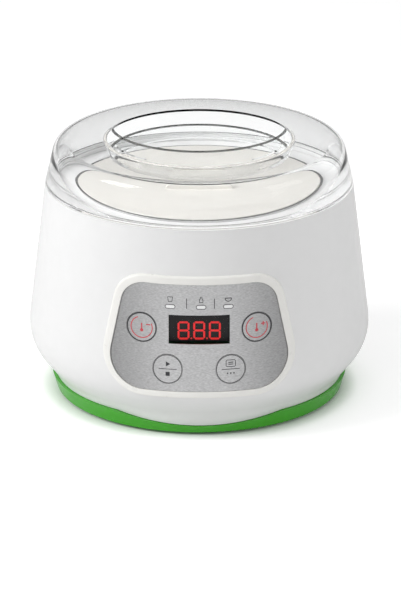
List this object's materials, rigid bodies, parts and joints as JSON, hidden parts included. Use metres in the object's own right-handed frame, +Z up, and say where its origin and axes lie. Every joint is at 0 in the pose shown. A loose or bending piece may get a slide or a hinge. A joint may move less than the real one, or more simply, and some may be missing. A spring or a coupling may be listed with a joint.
{
  "type": "yogurt maker",
  "caption": "Round white yogurt maker with a green base, heated well, steel pot with its lid, clear outer lid and a sloping brushed panel with round keys and a lit display.",
  "frame": {"origin": "on the table under the middle of the object, at the feet's underside", "axes": "+Z up along the axis of the housing, front panel towards -Y, +X to the right of the panel"},
  "size_m": [0.2194, 0.228, 0.1671],
  "materials": {
    "white": "gloss",
    "green": "gloss",
    "rubber": "matte",
    "steel": "satin",
    "aluminium": "satin",
    "mica": "matte",
    "sensor": "satin",
    "pot_steel": "satin",
    "cream": "satin",
    "silicone": "matte",
    "clear": "clear",
    "bezel": "satin",
    "brushed": "brushed",
    "smoked": "smoked",
    "black": "matte",
    "red": "lit",
    "lens": "frosted",
    "board": "satin",
    "key": "brushed",
    "transformer": "satin",
    "relay": "satin",
    "terminal": "satin",
    "bush": "satin"
  },
  "bodies": {
    "housing": {"outer_shell": "white", "well_liner": "white", "base_tray": "green", "feet": "rubber", "base_screws": "steel", "heater_plate": "aluminium", "heating_element": "mica", "heater_clamp": "steel", "clamp_screws": "steel", "temperature_sensor": "sensor", "thermal_fuse": "sensor", "panel_bezel": "bezel", "control_panel": "brushed", "display_window": "smoked", "display_module": "black", "display_digits": "red", "display_carrier": "black", "indicator_lenses": "lens", "indicator_leds": "lens", "control_board": "board", "tact_switches": "black", "board_screws": "steel", "power_board": "board", "power_screws": "steel", "transformer": "transformer", "relay": "relay", "capacitor": "black", "terminal_block": "terminal", "cord_bush": "bush"},
    "pot": {"inner_pot": "pot_steel"},
    "pot_cover": {"pot_lid": "cream", "pot_lid_seal": "silicone"},
    "cover": {"outer_lid": "clear", "lid_grip": "clear"},
    "key_minus": {"button_minus": "key"},
    "key_plus": {"button_plus": "key"},
    "key_start": {"button_start": "key"},
    "key_menu": {"button_menu": "key"}
  },
  "joints": [
    {"name": "pot_lift", "type": "slide", "parent": "housing", "child": "pot", "axis": [0, 0, 1], "range_m": [0, 0.115]},
    {"name": "pot_lid_lift", "type": "slide", "parent": "pot", "child": "pot_cover", "axis": [0, 0, 1], "range_m": [0, 0.05]},
    {"name": "outer_lid_lift", "type": "slide", "parent": "pot_cover", "child": "cover", "axis": [0, 0, 1], "range_m": [0, 0.09]},
    {"name": "press_minus", "type": "slide", "parent": "housing", "child": "key_minus", "axis": [0, 1, 0], "range_m": [0, 0.0008], "stiffness_N_per_m": 600, "springref_m": -0.0005},
    {"name": "press_plus", "type": "slide", "parent": "housing", "child": "key_plus", "axis": [0, 1, 0], "range_m": [0, 0.0008], "stiffness_N_per_m": 600, "springref_m": -0.0005},
    {"name": "press_start", "type": "slide", "parent": "housing", "child": "key_start", "axis": [0, 1, 0], "range_m": [0, 0.0008], "stiffness_N_per_m": 600, "springref_m": -0.0005},
    {"name": "press_menu", "type": "slide", "parent": "housing", "child": "key_menu", "axis": [0, 1, 0], "range_m": [0, 0.0008], "stiffness_N_per_m": 600, "springref_m": -0.0005}
  ]
}
